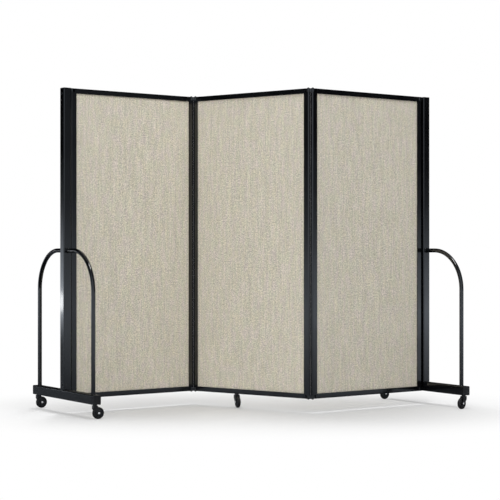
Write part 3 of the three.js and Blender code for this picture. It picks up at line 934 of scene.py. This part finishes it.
face = TUBE_HALF + END_GAP
bracket = bar("bracket", EYE_RADIUS, (POST_SPACING, 0, 0), (POST_SPACING, 0, LINK_HEIGHT), EYE_SIDES)
spigot_start, spigot_end = LINK_HEIGHT / 2, LINK_HEIGHT + SPIGOT_DEPTH
weld_on(
    bracket,
    block("web", (face, -WEB_HALF, 0), (POST_SPACING, WEB_HALF, LINK_HEIGHT)),
    bar("spigot", ROD_RADIUS, (POST_SPACING, 0, spigot_start), (POST_SPACING, 0, spigot_end), ROD_SIDES),
)
soften(bracket, LINK_ROUND, 3)
bolt = bar("bolt", BOLT_RADIUS, (0, 0, 0), (0, 0, BOLT_HEIGHT))
round_edges(bolt, lambda middle, edge: middle.z > BOLT_HEIGHT / 2 and not runs_along(edge, 2), BOLT_ROUND, 5)
socket_start, socket_end = (0, 0, BOLT_HEIGHT - SOCKET_DEPTH), (0, 0, BOLT_HEIGHT + OVERRUN)
cut_with(bolt, bar("socket", SOCKET_RADIUS, socket_start, socket_end, HEXAGON))
soften(bolt, BOLT_EDGE)

for end, side in [("left", -1), ("right", 1)]:
    inward = HALF_TURN if side > 0 else Matrix()
    for level, spot, bolt_height in [
        ("top", Matrix.Translation((0, 0, PANEL_TOP)) @ UPSIDE_DOWN, PANEL_TOP - BOLT_INSET),
        ("bottom", Matrix.Translation((0, 0, PANEL_BOTTOM)), BEAM_TOP + BOLT_INSET),
    ]:
        piece = put(bracket, ENDS[end] @ inward @ spot, f"{end}_{level}_bracket_arm")
        tube_coat.on(piece)
        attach(piece, f"{end}_panel")
        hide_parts(f"{end}_{level}_bracket")
        at_side = Matrix.Translation((side * TUBE_HALF, 0, bolt_height)) @ Matrix.Rotation(side * math.pi / 2, 4, "Y")
        head = put(bolt, ENDS[end] @ at_side, f"{end}_{level}_bracket_bolt")
        hinge_coat.on(head)
        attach(head, f"{end}_panel")
dropped(bracket, bolt)

# Casters: forks.
# A moulded black fork with two legs that lean back to the axle turns on a steel stem let into the beam or rail. Its
# neck is a stout round boss that carries the swivel bearing, and a web in front joins the legs.

WHEEL_RADIUS = 22 * MM
WHEEL_HALF = 6.5 * MM
SIDE_GAP = 0.4 * MM
ARM = 2.5 * MM
ARM_END = 7 * MM
TRAIL = 12.5 * MM
CROWN_LOW = 45.5 * MM
CROWN_HIGH = 49.5 * MM
NECK_RADIUS = 7.75 * MM
NECK_HIGH = 52.7 * MM
NECK_SIDES = 48
STEM_RADIUS = 4.5 * MM
STEM_SINK = 1 * MM
STEM_HIGH = 61 * MM
STEM_ROUND = 0.4 * MM
SHOULDER_LOW = 37.5 * MM
WEB_RISE = 1 * MM
WEB_INSET = 0.3 * MM
WEB_THICKNESS = 1.7 * MM
WEB_ROUND = 0.4 * MM
FORK_ROUND = 0.9 * MM
ARM_BORE = 3.3 * MM
ARM_STEPS = 16
TRAIL_DEGREES = {"left_rear": 29, "left_front": 28, "centre": -70, "right_front": 225, "right_rear": 214}

fork_plastic = moulded("fork_plastic", 0.33)
lean = math.atan2(TRAIL, CROWN_HIGH - WHEEL_RADIUS)
outline = [(NECK_RADIUS, CROWN_HIGH), (-NECK_RADIUS, CROWN_HIGH), (-NECK_RADIUS, SHOULDER_LOW)]
for step in range(ARM_STEPS + 1):
    angle = math.pi + lean + step * math.pi / ARM_STEPS
    outline.append((TRAIL + ARM_END * math.cos(angle), WHEEL_RADIUS + ARM_END * math.sin(angle)))
bpy.ops.mesh.primitive_circle_add(vertices=len(outline), radius=1, fill_type="NGON")
arm = named("arm")
for corner, (x, z) in zip(arm.data.vertices, outline):
    corner.co = (x, WHEEL_HALF + SIDE_GAP, z)
pick(arm, "FACE", every)
draw_on(0, ARM, 0)
bpy.ops.mesh.select_all(action="SELECT")
bpy.ops.mesh.normals_make_consistent(inside=False)
close_edit()
other_arm = put(arm, Matrix.Translation((0, -ARM - 2 * (WHEEL_HALF + SIDE_GAP), 0)), "other_arm")
fork_half = WHEEL_HALF + SIDE_GAP + ARM
fork = block("fork", (-NECK_RADIUS, -fork_half, CROWN_LOW), (NECK_RADIUS, fork_half, CROWN_HIGH))
neck = bar("neck", NECK_RADIUS, (0, 0, CROWN_LOW), (0, 0, NECK_HIGH), NECK_SIDES)
weld_on(fork, arm, other_arm, neck)
bore_reach = fork_half + OVERRUN
bore_start, bore_end = (TRAIL, -bore_reach, WHEEL_RADIUS), (TRAIL, bore_reach, WHEEL_RADIUS)
cut_with(fork, bar("axle_bore", ARM_BORE, bore_start, bore_end, ROD_SIDES))
soften(fork, FORK_ROUND, 3)
web_half = fork_half - ARM / 2
front_web = block(
    "front_web",
    (WEB_INSET - NECK_RADIUS, -web_half, SHOULDER_LOW + WEB_RISE),
    (WEB_INSET + WEB_THICKNESS - NECK_RADIUS, web_half, CROWN_LOW + WEB_INSET),
)
weld_on(fork, soften(front_web, WEB_ROUND))
smooth_shaded()
stem = bar("stem", STEM_RADIUS, (0, 0, NECK_HIGH - STEM_SINK), (0, 0, STEM_HIGH), ROD_SIDES)
soften(stem, STEM_ROUND)

# Casters: wheels.
# A black rubber tyre with a rounded tread sits on a moulded hub with a raised boss and shallow ribs, and a bright
# plated axle pin with domed heads runs through them and the fork.

WHEEL_SIDES = 72
WHEEL_EDGE = 0.3 * MM
TREAD_ROUND = 5.5 * MM
TREAD_DEPTH = 6 * MM
DISH = 1.5 * MM
HUB_RADIUS = 8 * MM
HUB_CLEARANCE = 0.02 * MM
AXLE_RADIUS = 3 * MM
HEAD_RADIUS = 3.8 * MM
HEAD_THICKNESS = 1.2 * MM
HEAD_OVERLAP = 0.2 * MM
BORE_CLEARANCE = 0.2 * MM
RIB_COUNT = 6
RIB_HALF = 0.7 * MM
RIB_RISE = 0.8 * MM
RIB_INSET = 0.5 * MM

ACROSS = Matrix.Rotation(-math.pi / 2, 4, "X")
rim_radius = WHEEL_RADIUS - TREAD_DEPTH
rim_reach = WHEEL_HALF + OVERRUN
hub_half = WHEEL_HALF - DISH
tyre = bar("tyre", WHEEL_RADIUS, (0, 0, -WHEEL_HALF), (0, 0, WHEEL_HALF), WHEEL_SIDES)
round_edges(tyre, lambda middle, edge: not runs_along(edge, 2), TREAD_ROUND, 8)
cut_with(tyre, bar("rim", rim_radius, (0, 0, -rim_reach), (0, 0, rim_reach), WHEEL_SIDES))
soften(tyre, WHEEL_EDGE)
hub = bar("hub", rim_radius - HUB_CLEARANCE, (0, 0, -hub_half), (0, 0, hub_half), WHEEL_SIDES)
for side in (-1, 1):
    pick(hub, "FACE", lambda middle, face: face.normal.z * side > 0.9)
    bpy.ops.mesh.inset(thickness=rim_radius - HUB_RADIUS)
    draw_on(0, 0, side * DISH)
    bpy.ops.mesh.inset(thickness=HUB_RADIUS - AXLE_RADIUS - BORE_CLEARANCE)
    bpy.ops.mesh.delete(type="FACE")
    close_edit()
pick(hub, "EDGE", lambda middle, edge: edge.is_boundary)
bpy.ops.mesh.bridge_edge_loops()
close_edit()
soften(hub, WHEEL_EDGE)
rib_half_height = hub_half + RIB_RISE
for number in range(RIB_COUNT):
    turn = Matrix.Rotation(2 * math.pi * number / RIB_COUNT, 4, "Z")
    rib = block(
        "rib",
        (HUB_RADIUS / 2, -RIB_HALF, -rib_half_height),
        (rim_radius - RIB_INSET, RIB_HALF, rib_half_height),
    )
    soften(rib, WHEEL_EDGE)
    rib.data.transform(turn)
    weld_on(hub, rib)
smooth_shaded()
head_seat = fork_half + END_GAP
axle_half = head_seat + HEAD_OVERLAP
axle = bar("axle", AXLE_RADIUS, (0, 0, -axle_half), (0, 0, axle_half), ROD_SIDES)
for side in (-1, 1):
    head = bar("head", HEAD_RADIUS, (0, 0, side * head_seat), (0, 0, side * (head_seat + HEAD_THICKNESS)))
    round_edges(
        head,
        lambda middle, edge: abs(middle.z) > head_seat + HEAD_THICKNESS / 2 and not runs_along(edge, 2),
        HEAD_THICKNESS * 0.95,
        5,
    )
    weld_on(axle, head)
smooth_shaded(30)

RUBBER_BLACK = colour(0.008, 0.008, 0.0085)
SCUFFED_BLACK = colour(0.018, 0.0175, 0.017)
PLATE_GREY = colour(0.84, 0.85, 0.87)
PLATE_BRIGHT = colour(0.95, 0.95, 0.96)


def rubber_finish(name):
    """Moulded rubber: a faint grain and patches of dull scuffs."""
    finish = Finish(name, 0.55)
    place = finish.place()
    scuffs = finish.between(finish.noise(place, 160.0, 4.0, 0.65), 0.45, 0.7)
    finish.feed("Base Color", finish.mixed(scuffs, RUBBER_BLACK, SCUFFED_BLACK))
    finish.feed("Roughness", scuffs * 0.2 + 0.45)
    finish.bump(finish.noise(place, 1500.0), 0.08 * MM, 0.5)
    return finish


def plated_finish(name):
    """Bright plating with fine drawn scratches."""
    finish = Finish(name, 0.12, 0.5)
    place = finish.place(scale=(1, 1, 12))
    scratches = finish.noise(place, 900.0, 3.0)
    finish.feed("Base Color", finish.mixed(scratches, PLATE_GREY, PLATE_BRIGHT))
    finish.feed("Roughness", scratches * 0.12 + 0.08)
    finish.bump(scratches, 0.02 * MM, 0.4)
    return finish


rubber = rubber_finish("tyre_rubber")
plating = plated_finish("bright_plating")
beam_stems = [
    (f"{end}_{level}", ENDS[end] @ Matrix.Translation((0, side * STEM_SPACING, 0)))
    for end in ENDS
    for level, side in [("front", -1), ("rear", 1)]
]
for caster, spot in [("centre", PANELS["centre"] @ Matrix.Translation((CENTRE_STEM_X, 0, 0))), *beam_stems]:
    trail = Matrix.Rotation(math.radians(TRAIL_DEGREES[caster]), 4, "Z")
    turned = Matrix.Translation(spot.to_translation()) @ trail
    hub_place = turned @ Matrix.Translation((TRAIL, 0, WHEEL_RADIUS)) @ ACROSS
    for model, place, name, finish, body, node, slot_name in [
        (fork, turned, "fork_body", fork_plastic, "caster", "fork", "fork_plastic"),
        (stem, turned, "stem_pin", plating, "caster", None, "axle_bright"),
        (axle, hub_place, "axle_pin", plating, "caster", "axle", "axle_bright"),
        (tyre, hub_place, "tyre", rubber, "wheel", "wheel", "wheel_black"),
        (hub, hub_place, "hub", fork_plastic, "wheel", None, "wheel_black"),
    ]:
        piece = put(model, place, f"{caster}_{name}")
        finish.on(piece)
        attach(piece, f"{caster}_{body}")
        if node:
            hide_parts(f"{caster}_caster_{node}")
dropped(fork, stem, tyre, hub, axle)

# Studio: camera, floor, sky and lamps.
# The photograph's camera stands level, straight in front, on a pale floor that fades to white. A dim soft sky, a wide
# light far in front and a wide one overhead light the screen evenly. Two narrow lights overhead, one before the
# panels and one behind, throw the shadows on either side, and one small lamp behind makes the post's glint.

FOCAL_PIXELS = 1420
PICTURE_PIXELS = 500
SENSOR = 36
CAMERA_PLACE = (-0.0013, -5.487, 0.6118)
FLOOR_SIZE = 60
FLOOR_GREY = colour(0.73, 0.733, 0.736)
WHITE = colour(1, 1, 1)
FADE_SHAPE = (0.75, 1.0, 0)
FADE_RANGE = (0.3, 0.98)

camera_data = bpy.data.cameras.new("camera")
camera_data.sensor_width = SENSOR
camera_data.lens = FOCAL_PIXELS / PICTURE_PIXELS * SENSOR
camera_data.clip_end = 200
camera = bpy.data.objects.new("camera", camera_data)
camera.location = CAMERA_PLACE
camera.rotation_euler = (math.pi / 2, 0, 0)
bpy.context.scene.collection.objects.link(camera)
bpy.context.scene.camera = camera


def seen_directly(tree):
    """1 for what the camera sees, straight or in a gloss or glass."""
    rays = tree.nodes.new("ShaderNodeLightPath").outputs
    seen, mirrored, through = [Field(tree, rays[f"Is {kind} Ray"]) for kind in ("Camera", "Glossy", "Transmission")]
    return seen.math("MAXIMUM", seen.math("MAXIMUM", seen, mirrored), through)


bpy.ops.mesh.primitive_plane_add(size=FLOOR_SIZE)
floor = named("floor")
floor.visible_glossy = False
floor_finish = Finish("pale_floor", 0.85, Base_Color=FLOOR_GREY, Specular_IOR_Level=0.1)
away = floor_finish.add("ShaderNodeVectorMath", {"operation": "MULTIPLY"}, floor_finish.place(), FADE_SHAPE)
away = floor_finish.add("ShaderNodeVectorMath", {"operation": "LENGTH"}, away, out=1)
white = floor_finish.add("ShaderNodeEmission", {}, Color=WHITE, Strength=1.0)
blend = floor_finish.add(
    "ShaderNodeMixShader", {}, seen_directly(floor_finish) * floor_finish.between(away, *FADE_RANGE),
    Field(floor_finish, floor_finish.shader.outputs[0]), white,
)
floor_finish.links.new(blend.socket, floor_finish.nodes["Material Output"].inputs["Surface"])
floor_finish.on(floor)

SKY_LIGHT = 0.4
HORIZON_RISE = (0.06, -0.038)
FLOOR_EDGE = 0.042
FLOOR_STEEPNESS = (14, 60)
GLOSS_HORIZON = (0.95, 1.5)
GLINT_GAIN = 1.6
GLOSS_BELOW = (0.03, 0.17)
GLOSS_ABOVE = (0.75, 0.15, 0.015)
GLOSS_TINT = colour(0.91, 1.0, 1.12)
FRONT = (-0.9, -0.6)
SIDE_FRONT = (-0.45, -0.39)
SIDE = (-0.47, -0.22)
BACK = (0.0, 0.45)
BACK_DARKNESS = 0.93
GLINT_DIRECTION = (-0.888, 0.46, 0)
GLINT_EDGE = (0.93, 0.985)


class Sky(Finish):
    """The world's node tree."""

    def __init__(self, name):
        world = bpy.data.worlds.new(name)
        bpy.context.scene.world = world
        world.use_nodes = True
        self.nodes = world.node_tree.nodes
        self.links = world.node_tree.links

    def ramp(self, value, low, high):
        """0 at low, 1 at high and straight between."""
        return self.add("ShaderNodeMapRange", {}, Value=value, From_Min=low, From_Max=high)

    def backdrop(self, strength, tint=WHITE):
        return self.add("ShaderNodeBackground", {}, Color=tint, Strength=strength)


sky = Sky("studio_sky")
direction = Field(sky, sky.nodes.new("ShaderNodeTexCoord").outputs["Generated"])
height = sky.add("ShaderNodeSeparateXYZ", {}, direction, out=2)
depth = sky.add("ShaderNodeSeparateXYZ", {}, direction, out=1)
towards_glint = sky.add("ShaderNodeVectorMath", {"operation": "DOT_PRODUCT"}, direction, GLINT_DIRECTION, out=1)
backward = sky.between(depth, *BACK)
front_to_side = sky.between(depth, *SIDE_FRONT)
above = GLOSS_ABOVE[1] - front_to_side * (GLOSS_ABOVE[1] - GLOSS_ABOVE[2])
above = (GLOSS_ABOVE[0] + sky.between(depth, *FRONT) * (above - GLOSS_ABOVE[0])) * (1 - backward)
to_side = sky.between(depth, *SIDE)
darkness = backward * BACK_DARKNESS
below = GLOSS_BELOW[0] + backward * (GLOSS_BELOW[1] - GLOSS_BELOW[0])
at_horizon = GLOSS_HORIZON[0] + to_side * (GLOSS_HORIZON[1] - GLOSS_HORIZON[0])
in_glint = sky.between(towards_glint, *GLINT_EDGE)
at_horizon = at_horizon * (1 - darkness * (1 - in_glint)) * (1 + backward * in_glint * (GLINT_GAIN - 1))
rise = sky.ramp(height, *HORIZON_RISE)
steepness = FLOOR_STEEPNESS[0] + backward * (FLOOR_STEEPNESS[1] - FLOOR_STEEPNESS[0])
under = sky.ramp((0 - height - FLOOR_EDGE) * steepness, 0, 1)
gloss_level = above + rise * rise * (at_horizon - above)
gloss_level = gloss_level + under * (below - at_horizon)
sky_rays = sky.nodes.new("ShaderNodeLightPath").outputs
behind = sky.add(
    "ShaderNodeMixShader", {}, Field(sky, sky_rays["Is Glossy Ray"]), sky.backdrop(SKY_LIGHT),
    sky.backdrop(gloss_level, GLOSS_TINT),
)
for ray in ("Is Camera Ray", "Is Transmission Ray"):
    behind = sky.add("ShaderNodeMixShader", {}, Field(sky, sky_rays[ray]), behind, sky.backdrop(1.0))
sky.links.new(behind.socket, sky.nodes["World Output"].inputs["Surface"])


def lamp(name, at, aim, size, power, in_gloss=True):
    """A soft rectangular lamp that faces a point."""
    data = bpy.data.lights.new(name, "AREA")
    data.shape = "RECTANGLE"
    data.size, data.size_y = size
    data.energy = power
    light = bpy.data.objects.new(name, data)
    light.location = at
    light.rotation_euler = (Vector(aim) - Vector(at)).to_track_quat("-Z", "Y").to_euler()
    light.visible_camera = False
    light.visible_glossy = in_gloss
    bpy.context.scene.collection.objects.link(light)


lamp("top_lamp", at=(0.0, 0.4, 3.6), aim=(0, 0.3, 0), size=(5.0, 3.0), power=22)
lamp("back_top_lamp", at=(-0.5, 1.25, 3.6), aim=(-0.5, 1.25, 0), size=(0.5, 1.5), power=70, in_gloss=False)
lamp("front_top_lamp", at=(0.5, -1.25, 3.6), aim=(0.5, -1.25, 0), size=(0.5, 1.5), power=52)
lamp("front_lamp", at=(-8.0, -17.6, 6.4), aim=(0, 0, 0.6), size=(27.0, 15.0), power=1620, in_gloss=False)
lamp("glint_lamp", at=(-3.35, 1.21, 0.31), aim=(-0.7, -0.18, 0.45), size=(0.1, 0.1), power=0.27)

bpy.context.scene.view_settings.view_transform = "Standard"
